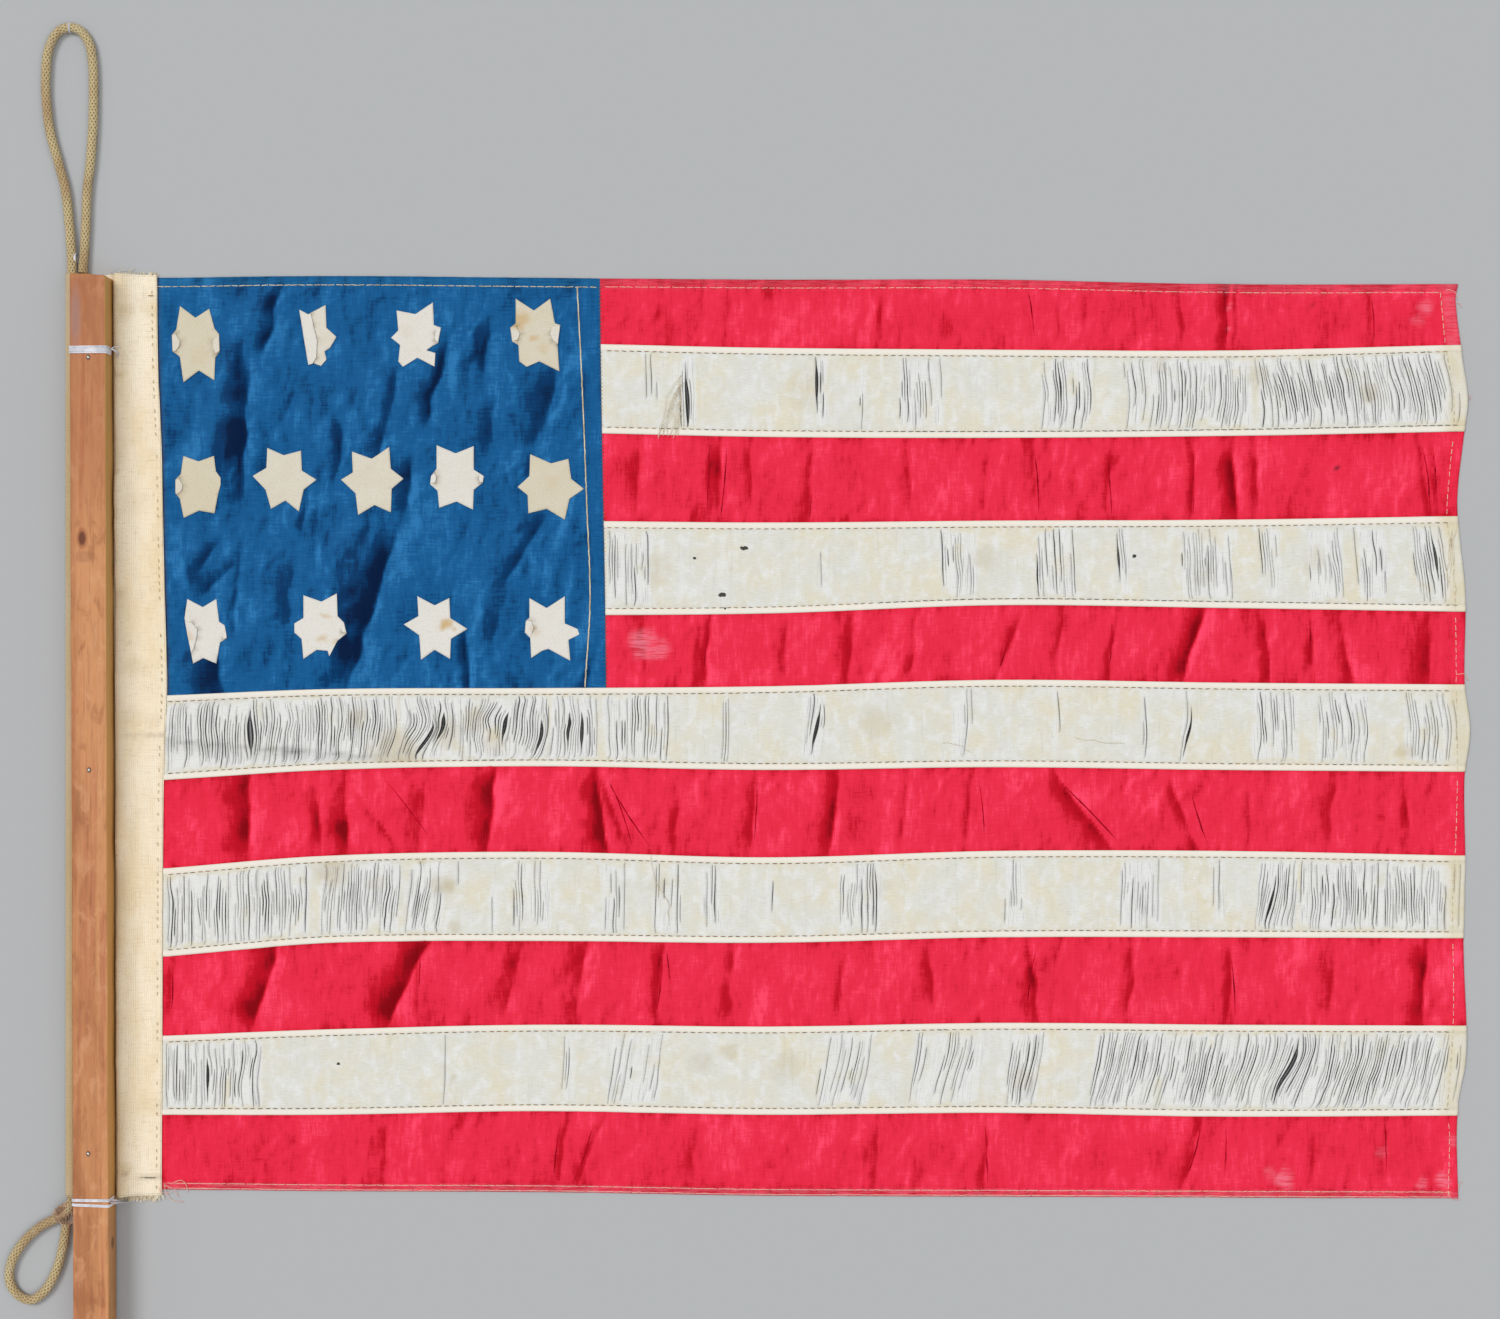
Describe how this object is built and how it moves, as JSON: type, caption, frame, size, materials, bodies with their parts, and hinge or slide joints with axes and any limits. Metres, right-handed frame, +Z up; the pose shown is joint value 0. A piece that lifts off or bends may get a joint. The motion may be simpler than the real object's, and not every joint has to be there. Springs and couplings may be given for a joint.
{
  "type": "tattered flag on a wooden batten",
  "caption": "Worn silk flag with appliqué stars on a blue canton, red and white stripes, canvas heading, looped hoist rope and nailed wooden batten, lying flat.",
  "frame": {"origin": "on the surface the flag lies on, under the middle of the box round flag and batten (rope left out)", "axes": "+X from the hoist to the fly, +Y to the flag's top edge, +Z up out of the flag's face"},
  "size_m": [0.8046, 0.7495, 0.0227],
  "materials": {
    "canton_silk": "satin silk, creased",
    "red_silk": "satin silk, creased",
    "white_silk": "shattered silk, stained",
    "star_cloth": "plain cotton, yellowed",
    "heading_canvas": "plain canvas, stained",
    "hoist_rope": "braided cotton cord",
    "batten_wood": "bare planed softwood",
    "nail_steel": "dull wire nail",
    "lashing_thread": "white cotton thread"
  },
  "bodies": {
    "root": {"canton": "canton_silk", "star_1": "star_cloth", "star_2": "star_cloth", "star_3": "star_cloth", "star_4": "star_cloth", "star_5": "star_cloth", "star_6": "star_cloth", "star_7": "star_cloth", "star_8": "star_cloth", "star_9": "star_cloth", "star_10": "star_cloth", "star_11": "star_cloth", "star_12": "star_cloth", "star_13": "star_cloth", "red_stripe_1": "red_silk", "red_stripe_2": "red_silk", "red_stripe_3": "red_silk", "red_stripe_4": "red_silk", "red_stripe_5": "red_silk", "red_stripe_6": "red_silk", "white_stripe_1": "white_silk", "white_stripe_2": "white_silk", "white_stripe_3": "white_silk", "white_stripe_4": "white_silk", "white_stripe_5": "white_silk", "heading": "heading_canvas", "rope": "hoist_rope", "batten": "batten_wood", "nail_1": "nail_steel", "nail_2": "nail_steel", "nail_3": "nail_steel", "lashing_top": "lashing_thread", "lashing_bottom": "lashing_thread"}
  },
  "joints": []
}
